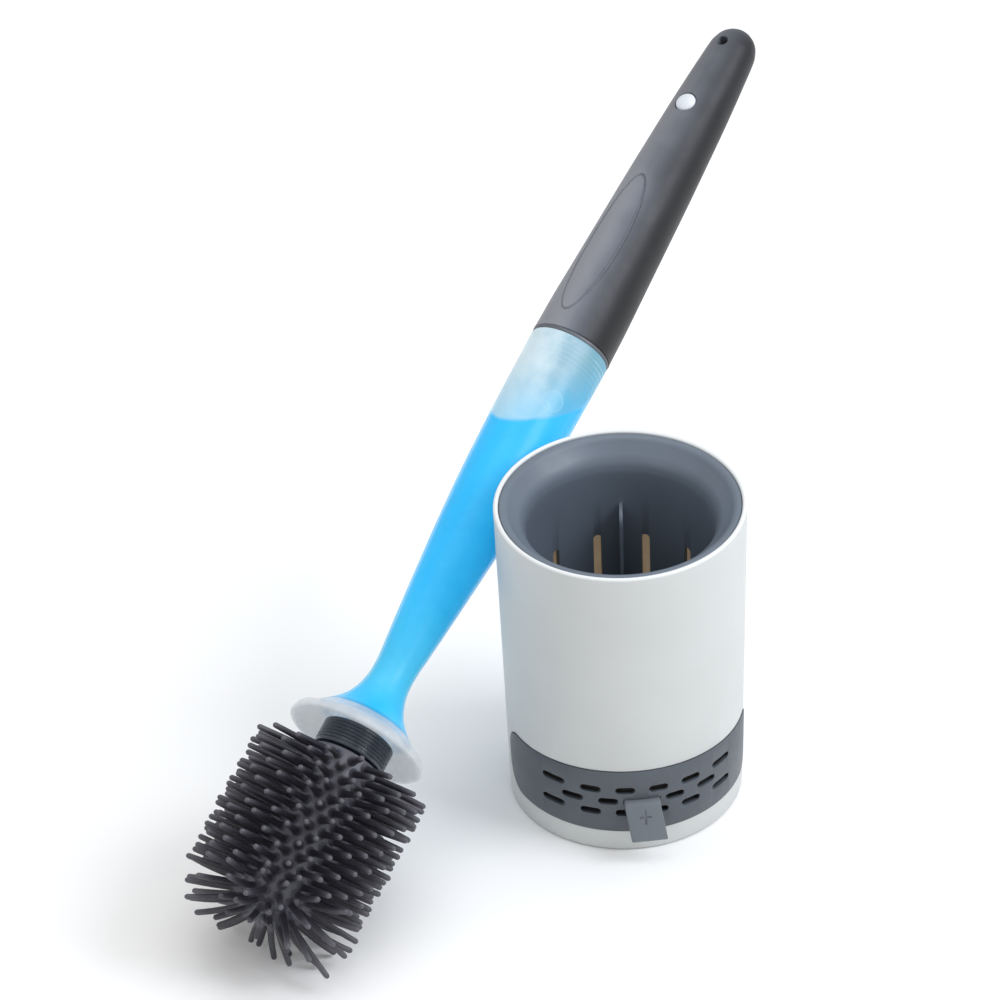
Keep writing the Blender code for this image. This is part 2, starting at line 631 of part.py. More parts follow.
def main():
    clear_scene()
    mats = make_materials()
    build_outer_shell(mats)
    build_inner_liner(mats)
    build_base_plate(mats)
    for i in range(4):
        build_foot(i, mats)
    build_drip_tray(mats)
    build_pull_tab(mats)

    frame = brush_frame()
    rig = bpy.data.objects.new("brush_frame", None)
    ROOT.objects.link(rig)
    rig.matrix_world = frame
    liquid, level = build_liquid(mats, frame)
    parts = [build_bottle(mats), liquid, level, build_outlet_valve(mats), build_handle_seal(mats),
             build_handle_insert(mats), build_handle(mats), build_button(mats), build_valve_stem(mats),
             build_valve_ring(mats), build_spring(mats), build_valve_housing(mats), build_head_collar(mats),
             build_head_washer(mats), build_head_core(mats), build_bristle_sleeve(mats)]
    for ob in parts:
        ob.parent = rig
    cuts = bpy.data.objects.get("tool_handle_cuts")
    cuts.parent = rig

    whole = bpy.data.objects.new("set_frame", None)
    ROOT.objects.link(whole)
    whole.location = (HOLDER_AT[0] * MM, HOLDER_AT[1] * MM, 0.0)
    for ob in list(ROOT.objects):
        if ob is not whole and ob.parent is None:
            ob.parent = whole


main()
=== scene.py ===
"""Looks for the toilet brush holder and its brush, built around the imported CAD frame."""
import json
import math
import random

import bmesh
import bpy
from mathutils import Matrix, Vector


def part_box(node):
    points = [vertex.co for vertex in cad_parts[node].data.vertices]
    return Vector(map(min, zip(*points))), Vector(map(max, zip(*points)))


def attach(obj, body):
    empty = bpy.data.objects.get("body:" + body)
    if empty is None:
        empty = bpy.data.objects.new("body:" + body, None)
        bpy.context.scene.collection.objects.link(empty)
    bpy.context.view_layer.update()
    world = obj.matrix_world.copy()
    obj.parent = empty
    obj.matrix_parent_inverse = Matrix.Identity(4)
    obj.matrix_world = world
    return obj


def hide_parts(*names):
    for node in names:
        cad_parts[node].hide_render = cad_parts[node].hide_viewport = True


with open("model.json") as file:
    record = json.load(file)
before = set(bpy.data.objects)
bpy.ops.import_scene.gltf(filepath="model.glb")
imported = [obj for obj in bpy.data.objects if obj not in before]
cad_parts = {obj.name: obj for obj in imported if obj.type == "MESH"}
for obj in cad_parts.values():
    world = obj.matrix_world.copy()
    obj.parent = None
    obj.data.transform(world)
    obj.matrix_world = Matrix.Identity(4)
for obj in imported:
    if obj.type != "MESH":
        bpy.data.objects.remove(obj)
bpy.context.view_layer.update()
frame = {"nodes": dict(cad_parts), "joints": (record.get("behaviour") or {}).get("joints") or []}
MM = 0.001
rng = random.Random(7)

# ---- where things are, from the frame ----------------------------------------------------------------
lo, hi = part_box("outer_shell")
HOLDER = Vector(((lo.x + hi.x) / 2, (lo.y + hi.y) / 2, 0.0))
joints = {j["name"]: j for j in frame["joints"]}
AXIS = Vector(joints["handle_unscrew"]["axis"]).normalized()
FRONT = -Vector(joints["button_press"]["axis"])
FRONT = (FRONT - AXIS * FRONT.dot(AXIS)).normalized()
BRUSH = Matrix.Translation(Vector(joints["handle_unscrew"]["pos_m"])) @ Matrix(
    (FRONT, AXIS.cross(FRONT), AXIS)).transposed().to_4x4()
STAND = Matrix.Translation(HOLDER)
TO_BRUSH = BRUSH.to_3x3().inverted()

# ---- sizes in millimetres ----------------------------------------------------------------------------
R_TOP, R_BOT, H_SHELL, WALL = 52.0, 48.7, 143.6, 2.0        # the cup's outer radii, height and wall
LEDGE_Z = 139.4                                             # where the liner's flange rests
LINER_TURN, THROAT = -7.7, 38.8                             # degrees, and the radius of the liner's bore
OPEN_Z0, OPEN_Z1, OPEN_RISE, OPEN_BACK = 10.3, 40.9, 3.7, -6.0
OPEN_R_TOP, OPEN_R_LOW = 11.0, 12.0                         # corner radii of the tray's opening
VENT_PITCH, VENT_L, VENT_H = 13.93, 8.2, 3.4
VENT_ROWS = (32.4, 26.5, 20.6)
BAND_PROUD = 0.35                                           # how far the tray's front stands out
LEVEL_U = 169.5                                             # heights along the brush are called u
LEVEL_UP = (TO_BRUSH @ Vector((0.0602, 0.3366, 0.9397))).normalized()
BUTTON_U, HANG_U = 319.5, 353.9
PANEL_U, PANEL_HALF_W, PANEL_HALF_L, PANEL_R = 243.5, 7.75, 35.75, 0.72
CORE_R, CORE_TOP, CORE_CYL, DOME_H = 16.0, -8.2, -69.5, 12.5
BRISTLE_L, BRISTLE_R0, BRISTLE_R1 = 22.9, 1.48, 1.2

# ---- the view, and the sides of the brush as seen from there -------------------------------------------
EYE = Vector((-0.26735, -2.06835, 1.69362))          # metres, from the holder's foot
LOOK = Vector((0.10757, 0.79558, -0.59622)).normalized()
ROLL = math.radians(-1.1)
LENS, SENSOR_W, SHIFT_X = 229.13, 36.0, -0.15
UP = Vector((0, 0, 1))                               # up in the world, along the brush in its own frame
RIGHT = LOOK.cross(UP).normalized()
FACE = TO_BRUSH @ -LOOK
FACE = Vector((FACE.x, FACE.y, 0)).normalized()      # the side of the brush that faces front
SIDE = UP.cross(FACE)                                # and the side to its right


def shell_r(z):
    """Outer radius of the cup at a height."""
    return R_BOT + (R_TOP - R_BOT) * z / H_SHELL


# ---- mesh helpers -------------------------------------------------------------------------------------
def catmull(points, per):
    """Smooth curve through (r, z) points."""
    out, pts = [], [Vector(p) for p in points]
    pts = [pts[0] * 2 - pts[1]] + pts + [pts[-1] * 2 - pts[-2]]
    for a, b, c, d in zip(pts, pts[1:], pts[2:], pts[3:]):
        for i in range(per):
            t = i / per
            out.append(0.5 * ((2 * b) + (c - a) * t + (2 * a - 5 * b + 4 * c - d) * t * t
                              + (3 * b - a - 3 * c + d) * t ** 3))
    out.append(pts[-2])
    return [(max(p.x, 0.0), p.y) for p in out]


def arc(cx, cy, r, a0, a1, n):
    """Points along an arc, angles in degrees."""
    return [(cx + r * math.cos(math.radians(a0 + (a1 - a0) * i / n)),
             cy + r * math.sin(math.radians(a0 + (a1 - a0) * i / n))) for i in range(n + 1)]


def lathe_bm(profile, seg):
    """Turns a closed (r, z) profile (mm) round the Z axis."""
    bm = bmesh.new()
    rings = []
    for r, z in profile:
        if r <= 1e-6:
            rings.append([bm.verts.new((0, 0, z * MM))])
        else:
            rings.append([bm.verts.new((r * MM * math.cos(2 * math.pi * i / seg),
                                        r * MM * math.sin(2 * math.pi * i / seg), z * MM))
                          for i in range(seg)])
    for a, b in zip(rings, rings[1:] + rings[:1]):
        if len(a) == 1 and len(b) == 1:
            continue
        for i in range(seg):
            j = (i + 1) % seg
            if len(a) == 1:
                bm.faces.new((a[0], b[j], b[i]))
            elif len(b) == 1:
                bm.faces.new((a[i], a[j], b[0]))
            else:
                bm.faces.new((a[i], a[j], b[j], b[i]))
    return bm


def prism_bm(outline, axis, start, stop):
    """Extrude an outline (mm) along X, Y or Z."""
    bm = bmesh.new()

    def place(p, t):
        v = {"X": (t, p[0], p[1]), "Y": (p[0], t, p[1]), "Z": (p[0], p[1], t)}[axis]
        return Vector(v) * MM

    a, b = ([bm.verts.new(place(p, t)) for p in outline] for t in (start, stop))
    bm.faces.new(a)
    bm.faces.new(b[::-1])
    for i in range(len(outline)):
        j = (i + 1) % len(outline)
        bm.faces.new((a[i], b[i], b[j], a[j]))
    return bm


def stadium(w, h, n, cx, cy):
    """A slot's outline: straight sides and round ends."""
    if w >= h:
        r, s = h / 2, (w - h) / 2
        return arc(cx + s, cy, r, -90, 90, n) + arc(cx - s, cy, r, 90, 270, n)
    r, s = w / 2, (h - w) / 2
    return arc(cx, cy + s, r, 0, 180, n) + arc(cx, cy - s, r, 180, 360, n)


def circle(r, n, cx, cy=0.0):
    return [(cx + r * math.cos(2 * math.pi * i / n), cy + r * math.sin(2 * math.pi * i / n))
            for i in range(n)]


def merge(target, source, matrix=None):
    """Moves a mesh into another one, and frees it."""
    me = bpy.data.meshes.new("part")
    source.to_mesh(me)
    source.free()
    if matrix is not None:
        me.transform(matrix)
    target.from_mesh(me)
    bpy.data.meshes.remove(me)


def turn(deg):
    """Rotation about the upright axis."""
    return Matrix.Rotation(math.radians(deg), 4, "Z")


def finish_mesh(name, bm, matrix, smooth=35.0):
    """Makes an object of a mesh; edges sharper than smooth (degrees) stay sharp."""
    bmesh.ops.remove_doubles(bm, verts=bm.verts, dist=1e-8)
    bmesh.ops.recalc_face_normals(bm, faces=bm.faces)
    me = bpy.data.meshes.new(name)
    bm.to_mesh(me)
    bm.free()
    ob = bpy.data.objects.new(name, me)
    bpy.context.scene.collection.objects.link(ob)
    ob.matrix_world = matrix
    me.shade_smooth()
    if smooth:
        me.set_sharp_from_angle(angle=math.radians(smooth))
    return ob


def apply_modifiers(ob, smooth):
    dg = bpy.context.evaluated_depsgraph_get()
    me = bpy.data.meshes.new_from_object(ob.evaluated_get(dg))
    old = ob.data
    ob.modifiers.clear()
    ob.data = me
    bpy.data.meshes.remove(old)
    me.name = ob.name
    me.shade_smooth()
    me.set_sharp_from_angle(angle=math.radians(smooth))


def cut(ob, bm, op="DIFFERENCE"):
    """Boolean with a mesh made in the same local frame, applied at once."""
    tool = finish_mesh("tool", bm, ob.matrix_world.copy(), 0)
    mod = ob.modifiers.new("cut", "BOOLEAN")
    mod.operation, mod.solver, mod.object = op, "EXACT", tool
    apply_modifiers(ob, 35.0)
    bpy.data.objects.remove(tool, do_unlink=True)


def soften(ob, width, angle):
    """Rounds every edge that is sharper than an angle."""
    mod = ob.modifiers.new("soft_edges", "BEVEL")
    mod.width, mod.segments, mod.limit_method = width * MM, 2, "ANGLE"
    mod.angle_limit = math.radians(angle)
    mod.harden_normals = False
    mod.use_clamp_overlap = True
    apply_modifiers(ob, 30.0)


# ---- materials ----------------------------------------------------------------------------------------
def new_mat(name):
    mat = bpy.data.materials.new(name)
    mat.use_nodes = True
    nt = mat.node_tree
    return mat, nt, nt.nodes["Principled BSDF"]


def coords(nt):
    return nt.nodes.new("ShaderNodeTexCoord").outputs["Object"]


def noise(nt, vec, scale, detail=3.0, rough=0.5):
    n = nt.nodes.new("ShaderNodeTexNoise")
    n.inputs["Scale"].default_value = scale
    n.inputs["Detail"].default_value = detail
    n.inputs["Roughness"].default_value = rough
    nt.links.new(vec, n.inputs["Vector"])
    return n.outputs["Fac"]


def ramp(nt, fac, stops):
    r = nt.nodes.new("ShaderNodeValToRGB")
    els = r.color_ramp.elements
    while len(els) > 1:
        els.remove(els[-1])
    els[0].position, els[0].color = stops[0][0], (*stops[0][1], 1)
    for pos, col in stops[1:]:
        e = els.new(pos)
        e.color = (*col, 1)
    nt.links.new(fac, r.inputs["Fac"])
    return r.outputs["Color"]


def maprange(nt, fac, a, b, c, d, smooth=False):
    m = nt.nodes.new("ShaderNodeMapRange")
    m.interpolation_type = "SMOOTHSTEP" if smooth else "LINEAR"
    for key, val in zip(("From Min", "From Max", "To Min", "To Max"), (a, b, c, d)):
        m.inputs[key].default_value = val
    nt.links.new(fac, m.inputs["Value"])
    return m.outputs["Result"]


def math_node(nt, op, a, b=None):
    m = nt.nodes.new("ShaderNodeMath")
    m.operation = op
    for i, v in enumerate((a, b)):
        if v is None:
            continue
        if isinstance(v, (int, float)):
            m.inputs[i].default_value = v
        else:
            nt.links.new(v, m.inputs[i])
    return m.outputs[0]


def mix(nt, fac, a, b):
    m = nt.nodes.new("ShaderNodeMix")
    m.data_type = "RGBA"
    for key, v in (("Factor", fac), ("A", a), ("B", b)):
        kind = "VALUE" if key == "Factor" else "RGBA"
        sock = [s for s in m.inputs if s.name == key and s.type == kind][0]
        if hasattr(v, "is_output"):
            nt.links.new(v, sock)
        else:
            sock.default_value = (*v, 1)
    return [s for s in m.outputs if s.type == "RGBA"][0]


def bump(nt, bsdf, height, strength, distance):
    b = nt.nodes.new("ShaderNodeBump")
    b.inputs["Strength"].default_value = strength
    b.inputs["Distance"].default_value = distance
    nt.links.new(height, b.inputs["Height"])
    nt.links.new(b.outputs["Normal"], bsdf.inputs["Normal"])


def plastic(name, colour, rough=0.42, vary=0.05, grain=2600.0, grain_depth=0.00002, mottle=45.0,
            coat=0.0, spec=0.5):
    """Moulded plastic: slow colour drift, fine grain in bump, and patches of slightly different gloss."""
    mat, nt, bsdf = new_mat(name)
    vec = coords(nt)
    slow = noise(nt, vec, mottle, 3.0, 0.55)
    dark = tuple(c * (1 - vary) for c in colour)
    light = tuple(min(1.0, c * (1 + vary)) for c in colour)
    nt.links.new(ramp(nt, slow, [(0.3, dark), (0.7, light)]), bsdf.inputs["Base Color"])
    gloss = noise(nt, vec, mottle * 2.3, 4.0, 0.6)
    nt.links.new(maprange(nt, gloss, 0.3, 0.7, rough - 0.05, rough + 0.06), bsdf.inputs["Roughness"])
    fine = noise(nt, vec, grain, 2.0, 0.5)
    bump(nt, bsdf, fine, 0.35, grain_depth)
    bsdf.inputs["Specular IOR Level"].default_value = spec
    if coat:
        bsdf.inputs["Coat Weight"].default_value = coat
        bsdf.inputs["Coat Roughness"].default_value = 0.25
    return mat


def local_xyz(nt):
    vec = coords(nt)
    sep = nt.nodes.new("ShaderNodeSeparateXYZ")
    nt.links.new(vec, sep.inputs["Vector"])
    return sep.outputs["X"], sep.outputs["Y"], sep.outputs["Z"], vec


def algebra(nt):
    """Short names for sums and products of node values."""
    return (lambda a, b: math_node(nt, "ADD", a, b)), (lambda a, b: math_node(nt, "MULTIPLY", a, b))


def radius(nt, x, y):
    add, mul = algebra(nt)
    return math_node(nt, "SQRT", add(mul(x, x), mul(y, y)))


def shell_material():
    """White outside, with a painted highlight along the top of the rim; the inside wall, seen through the
    liner's slots, is painted a glowing warm tan for light that shines through the thin white wall.
    """
    mat, nt, bsdf = new_mat("white_shell")
    x, y, z, vec = local_xyz(nt)
    add, mul = algebra(nt)
    r_out = add(mul(z, (R_TOP - R_BOT) / H_SHELL), R_BOT * MM)
    depth = math_node(nt, "SUBTRACT", r_out, radius(nt, x, y))
    inside = maprange(nt, depth, 0.0017, 0.0019, 0.0, 1.0)
    below = maprange(nt, z, 0.1366, 0.1391, 1.0, 0.0)
    mask = mul(inside, below)
    slow = noise(nt, vec, 22.0, 3.0, 0.5)
    white = ramp(nt, slow, [(0.3, (0.545, 0.565, 0.558)), (0.7, (0.572, 0.592, 0.588))])
    # painted light: the tan and its glow stand for light shining through the thin white wall
    tan = ramp(nt, noise(nt, vec, 160.0, 4.0, 0.6), [(0.3, (0.40, 0.30, 0.19)), (0.7, (0.50, 0.39, 0.26))])
    # painted highlight: the top of the rim is made paler
    rim = maprange(nt, z, 0.1423, 0.1432, 0.0, 1.0, True)
    white = mix(nt, rim, white, (0.70, 0.72, 0.73))
    nt.links.new(mix(nt, mask, white, tan), bsdf.inputs["Base Color"])
    nt.links.new(tan, bsdf.inputs["Emission Color"])
    nt.links.new(mul(mask, 0.30), bsdf.inputs["Emission Strength"])
    nt.links.new(maprange(nt, noise(nt, vec, 70.0, 4.0, 0.6), 0.3, 0.7, 0.38, 0.48), bsdf.inputs["Roughness"])
    bump(nt, bsdf, noise(nt, vec, 2200.0, 2.0, 0.5), 0.25, 0.00002)
    bsdf.inputs["Specular IOR Level"].default_value = 0.45
    return mat


def tray_material():
    """Grey plastic, with painted shade inside the vents."""
    mat, nt, bsdf = new_mat("grey_tray")
    x, y, z, vec = local_xyz(nt)
    add, mul = algebra(nt)
    r = radius(nt, x, y)
    r_out = add(mul(z, (R_TOP - R_BOT) / H_SHELL), (R_BOT + BAND_PROUD) * MM)
    # painted shade: deep marks the vent walls and the band's inside, where shade falls
    deep = maprange(nt, math_node(nt, "SUBTRACT", r_out, r), 0.0008, 0.0017, 0.0, 1.0, True)
    deep = mul(deep, maprange(nt, r, 0.0434, 0.0438, 0.0, 1.0))      # in the band, not on its inner face
    deep = mul(deep, maprange(nt, y, -0.024, -0.022, 1.0, 0.0))      # at the front
    deep = mul(deep, maprange(nt, z, 0.0185, 0.0190, 0.0, 1.0))      # between the lowest and
    deep = mul(deep, maprange(nt, z, 0.0342, 0.0347, 1.0, 0.0))      # the highest row of vents
    col = ramp(nt, noise(nt, vec, 34.0, 3.0, 0.55),
               [(0.3, (0.068, 0.079, 0.096)), (0.7, (0.078, 0.091, 0.109))])
    painted_vent_shade = ramp(nt, noise(nt, vec, 300.0, 4.0, 0.6),
                 [(0.3, (0.006, 0.007, 0.009)), (0.7, (0.014, 0.015, 0.018))])
    nt.links.new(mix(nt, mul(deep, 0.92), col, painted_vent_shade), bsdf.inputs["Base Color"])
    nt.links.new(maprange(nt, noise(nt, vec, 78.0, 4.0, 0.6), 0.3, 0.7, 0.40, 0.51), bsdf.inputs["Roughness"])
    bump(nt, bsdf, noise(nt, vec, 2200.0, 2.0, 0.5), 0.35, 0.00003)
    bsdf.inputs["Specular IOR Level"].default_value = 0.5
    return mat


def dot_with(nt, vec, direction):
    d = nt.nodes.new("ShaderNodeVectorMath")
    d.operation = "DOT_PRODUCT"
    nt.links.new(vec, d.inputs[0])
    d.inputs[1].default_value = direction
    return d.outputs["Value"]


BUBBLES = ((-3.4, 160.2, 9.3, 4.6), (-13.4, 158.4, 2.3, 2.2), (4.3, 167.6, 4.7, 4.5))  # side, u, half sizes
WRAP, TILT_COS, TILT_SIN = 1.09, 0.878, 0.479        # stretch across the round wall, and how the bubbles lie
THREAD_PITCH = 0.0021                                # metres


def highest(nt, values):
    """The largest of some node values."""
    top = values[0]
    for value in values[1:]:
        top = math_node(nt, "MAXIMUM", top, value)
    return top


def bubble_marks(nt, vec, z):
    """Soft ovals on the front of the wall near the liquid's level: their outlines and their insides."""
    add, mul = algebra(nt)
    side = dot_with(nt, vec, SIDE)
    rings, fills = [], []
    for s, u, rx, ry in BUBBLES:
        ds = add(mul(side, WRAP), -WRAP * s * MM)
        du = add(z, -u * MM)
        px = mul(add(mul(ds, TILT_COS), mul(du, TILT_SIN)), 1 / (rx * MM))
        py = mul(add(mul(ds, -TILT_SIN), mul(du, TILT_COS)), 1 / (ry * MM))
        e = radius(nt, px, py)
        off = mul(math_node(nt, "ABSOLUTE", add(e, -1.0)), min(rx, ry))
        rings.append(maprange(nt, off, 0.02, 0.60, 1.0, 0.0, True))
        fills.append(maprange(nt, e, 0.93, 1.0, 1.0, 0.0, True))
    front = maprange(nt, dot_with(nt, vec, FACE), 0.0, 0.003, 0.0, 1.0)
    return mul(highest(nt, rings), front), mul(highest(nt, fills), front)


def dry_wall(nt, vec, z, height, cloud):
    """Wall with air behind it: tinted near the liquid, paler higher up, with painted light on one side and
    painted shade on the other, and the plug's threads showing.
    """
    add, mul = algebra(nt)
    drift = maprange(nt, cloud, 0.3, 0.7, -0.005, 0.005)
    # painted light and shade: pale on one side of the wall, dark on the other, and the threads fade on the
    # dark side
    across = maprange(nt, add(dot_with(nt, vec, SIDE), drift), -0.016, 0.014, 0.0, 1.0, True)
    pale = ramp(nt, across, [(0.0, (0.66, 0.80, 0.86)), (0.5, (0.32, 0.50, 0.60)), (1.0, (0.18, 0.40, 0.50))])
    near_level = ramp(nt, across, [(0.0, (0.42, 0.68, 0.82)), (1.0, (0.11, 0.47, 0.71))])
    col = mix(nt, maprange(nt, height, 0.0, 0.022, 0.0, 1.0, True), near_level, pale)
    lines = math_node(nt, "SINE", mul(z, 2 * math.pi / THREAD_PITCH))
    thread = mul(maprange(nt, lines, 0.2, 0.9, 0.0, 1.0, True), maprange(nt, z, 0.182, 0.186, 0.0, 0.3, True))
    thread = mul(thread, maprange(nt, z, 0.1945, 0.196, 1.0, 0.0, True))
    thread = mul(thread, mul(across, maprange(nt, cloud, 0.35, 0.65, 0.2, 1.0)))
    return mix(nt, thread, col, (0.62, 0.80, 0.88))


def wet_wall(nt, vec, z):
    """Wall with liquid behind it, a little greener at the neck."""
    _, mul = algebra(nt)
    wet = ramp(nt, noise(nt, vec, 40.0, 3.0, 0.5), [(0.3, (0.020, 0.43, 0.74)), (0.7, (0.034, 0.48, 0.78))])
    neck = mul(maprange(nt, z, 0.030, 0.078, 0.6, 0.0, True), maprange(nt, z, 0.012, 0.030, 0.0, 1.0, True))
    return mix(nt, neck, wet, (0.085, 0.50, 0.64))


def bottle_material():
    """Frosted wall: milky at the skirt, tinted where the liquid stands behind it, bubbles at its level, with
    a painted glow over the wall and a stronger one on the skirt.
    """
    mat, nt, bsdf = new_mat("frosted_bottle")
    _, _, z, vec = local_xyz(nt)
    add, mul = algebra(nt)
    height = add(dot_with(nt, vec, LEVEL_UP), -LEVEL_U * MM * LEVEL_UP.z)
    height = add(height, maprange(nt, noise(nt, vec, 60.0, 3.0, 0.5), 0.0, 1.0, -0.0012, 0.0012))
    air = maprange(nt, height, -0.0008, 0.0010, 0.0, 1.0, True)
    cloud = noise(nt, vec, 95.0, 4.0, 0.6)
    col = mix(nt, air, wet_wall(nt, vec, z), dry_wall(nt, vec, z, height, cloud))
    rings, fills = bubble_marks(nt, vec, z)
    col = mix(nt, mul(fills, 0.14), col, (0.42, 0.70, 0.84))
    col = mix(nt, mul(rings, mul(maprange(nt, cloud, 0.3, 0.7, 0.2, 1.0), 0.4)), col, (0.46, 0.72, 0.86))
    edge = mul(maprange(nt, z, 0.0104, 0.0122, 1.0, 0.0, True), 0.7)
    skirt = maprange(nt, z, 0.0088, 0.0102, 1.0, 0.0, True)
    milk = ramp(nt, cloud, [(0.3, (0.33, 0.355, 0.38)), (0.7, (0.40, 0.42, 0.44))])
    col = mix(nt, skirt, mix(nt, edge, col, (0.03, 0.22, 0.40)), milk)
    nt.links.new(col, bsdf.inputs["Base Color"])
    # painted glow: the wall emits its own colour, more where the liquid stands behind it and most on the
    # skirt
    nt.links.new(col, bsdf.inputs["Emission Color"])
    glow = add(mul(air, -0.20), 0.26)
    glow = math_node(nt, "MAXIMUM", add(glow, mul(skirt, 0.36)), 0.06)
    nt.links.new(glow, bsdf.inputs["Emission Strength"])
    alpha = add(mul(air, 0.14), 0.62)
    alpha = add(alpha, mul(skirt, -0.06))
    alpha = add(alpha, maprange(nt, cloud, 0.3, 0.7, -0.04, 0.05))
    nt.links.new(alpha, bsdf.inputs["Alpha"])
    frost = noise(nt, vec, 120.0, 4.0, 0.6)
    nt.links.new(maprange(nt, frost, 0.3, 0.7, 0.30, 0.42), bsdf.inputs["Roughness"])
    bump(nt, bsdf, noise(nt, vec, 1500.0, 3.0, 0.5), 0.3, 0.00003)
    bsdf.inputs["Specular IOR Level"].default_value = 0.4
    return mat


def liquid_material():
    """Blue liquid with a little glow, for the light that real liquid passes on."""
    mat, nt, bsdf = new_mat("blue_liquid")
    vec = coords(nt)
    deep = noise(nt, vec, 35.0, 2.0, 0.5)
    col = ramp(nt, deep, [(0.3, (0.012, 0.42, 0.76)), (0.7, (0.024, 0.48, 0.82))])
    nt.links.new(col, bsdf.inputs["Base Color"])
    nt.links.new(col, bsdf.inputs["Emission Color"])
    nt.links.new(maprange(nt, deep, 0.3, 0.7, 0.36, 0.44), bsdf.inputs["Emission Strength"])
    bsdf.inputs["Roughness"].default_value = 0.3
    bump(nt, bsdf, noise(nt, vec, 140.0, 2.0, 0.5), 0.15, 0.0002)
    return mat


def bristle_material():
    """Dark silicone, with painted light on the bare core and painted highlights at the tips of the bristles.
    """
    mat, nt, bsdf = new_mat("dark_silicone")
    x, y, z, vec = local_xyz(nt)
    down = math_node(nt, "MAXIMUM", math_node(nt, "SUBTRACT", CORE_CYL * MM, z), 0.0)
    reach = radius(nt, radius(nt, x, y), down)
    # painted highlight: the tips of the bristles are made paler
    tip = maprange(nt, reach, 0.030, 0.0385, 0.0, 0.75, True)
    base = ramp(nt, noise(nt, vec, 55.0, 3.0, 0.6),
                [(0.3, (0.0145, 0.0135, 0.0205)), (0.7, (0.0255, 0.0238, 0.0345))])
    # painted light: the bare core is made paler
    root = maprange(nt, reach, 0.0166, 0.0190, 0.8, 0.0, True)
    base = mix(nt, root, base, (0.105, 0.105, 0.130))
    nt.links.new(mix(nt, tip, base, (0.078, 0.076, 0.094)), bsdf.inputs["Base Color"])
    dull = noise(nt, vec, 400.0, 3.0, 0.6)
    nt.links.new(maprange(nt, dull, 0.3, 0.7, 0.42, 0.58), bsdf.inputs["Roughness"])
    bump(nt, bsdf, noise(nt, vec, 1800.0, 3.0, 0.6), 0.3, 0.00004)
    bsdf.inputs["Specular IOR Level"].default_value = 0.7
    return mat


def handle_material():
    """Soft-sheen grey with painted light and shade: pale on one side of the handle fading to dark on the
    other, and darker towards its end.
    """
    mat, nt, bsdf = new_mat("grey_handle")
    _, _, z, vec = local_xyz(nt)
    add, mul = algebra(nt)
    drift = maprange(nt, noise(nt, vec, 30.0, 3.0, 0.55), 0.3, 0.7, -0.002, 0.002)
    # painted light and shade across the handle's width, set by its sides as seen from the view
    across = maprange(nt, add(dot_with(nt, vec, SIDE), drift), -0.012, 0.013, 0.0, 1.0, True)
    col = ramp(nt, across, [(0.0, (0.225, 0.232, 0.262)), (0.16, (0.138, 0.152, 0.180)),
                            (0.32, (0.100, 0.110, 0.133)), (0.48, (0.070, 0.076, 0.093)),
                            (0.66, (0.044, 0.046, 0.054)), (0.84, (0.024, 0.024, 0.028)),
                            (1.0, (0.016, 0.016, 0.018))])
    far = maprange(nt, add(z, mul(drift, 4.0)), 0.27, 0.36, 0.0, 0.42, True)
    nt.links.new(mix(nt, far, col, (0.014, 0.015, 0.018)), bsdf.inputs["Base Color"])
    dull = noise(nt, vec, 70.0, 4.0, 0.6)
    nt.links.new(maprange(nt, dull, 0.3, 0.7, 0.40, 0.50), bsdf.inputs["Roughness"])
    bump(nt, bsdf, noise(nt, vec, 1800.0, 2.0, 0.5), 0.35, 0.00003)
    bsdf.inputs["Specular IOR Level"].default_value = 0.28
    return mat


# ---- holder -------------------------------------------------------------------------------------------
def opening_outline(grow):
    """Side view of the tray's opening in the shell, made larger by grow."""
    y1, z0, z1 = OPEN_BACK + grow, OPEN_Z0 - grow, OPEN_Z1 + grow
    rt, rb = OPEN_R_TOP + grow, OPEN_R_LOW + grow
    return ([(-80.0, z0)] + arc(y1 - rb, z0 + rb, rb, -90, 0, 24)
            + arc(y1 - rt, z1 - rt, rt, 0, 90, 16) + [(-80.0, z1 + OPEN_RISE)])


def build_shell():
    rim = arc(R_TOP - 1.02, H_SHELL - 1.02, 1.0, 0, 180, 12)
    foot = [(R_BOT - WALL, 0.9), (R_BOT - WALL + 0.3, 0.5), (R_BOT - 0.7, 0.5), (R_BOT - 0.2, 0.7),
            (R_BOT, 1.2)]
    prof = (foot + [(shell_r(z), z) for z in (10.0, 26.0, 42.0, 70.0, 100.0, 125.0, 139.0)] + rim
            + [(R_TOP - 2.03, LEDGE_Z), (47.8, LEDGE_Z), (47.8, LEDGE_Z - 2.0)]
            + [(shell_r(z) - WALL, z) for z in (133.6, 100.0, 70.0, 42.0, 26.0, 10.0)])
    ob = finish_mesh("shell_skin", lathe_bm(prof, 224), STAND)
    cut(ob, prism_bm(opening_outline(0.0), "X", -70, 70))
    soften(ob, 0.22, 55.0)
    ob.data.materials.append(shell_material())
    return ob


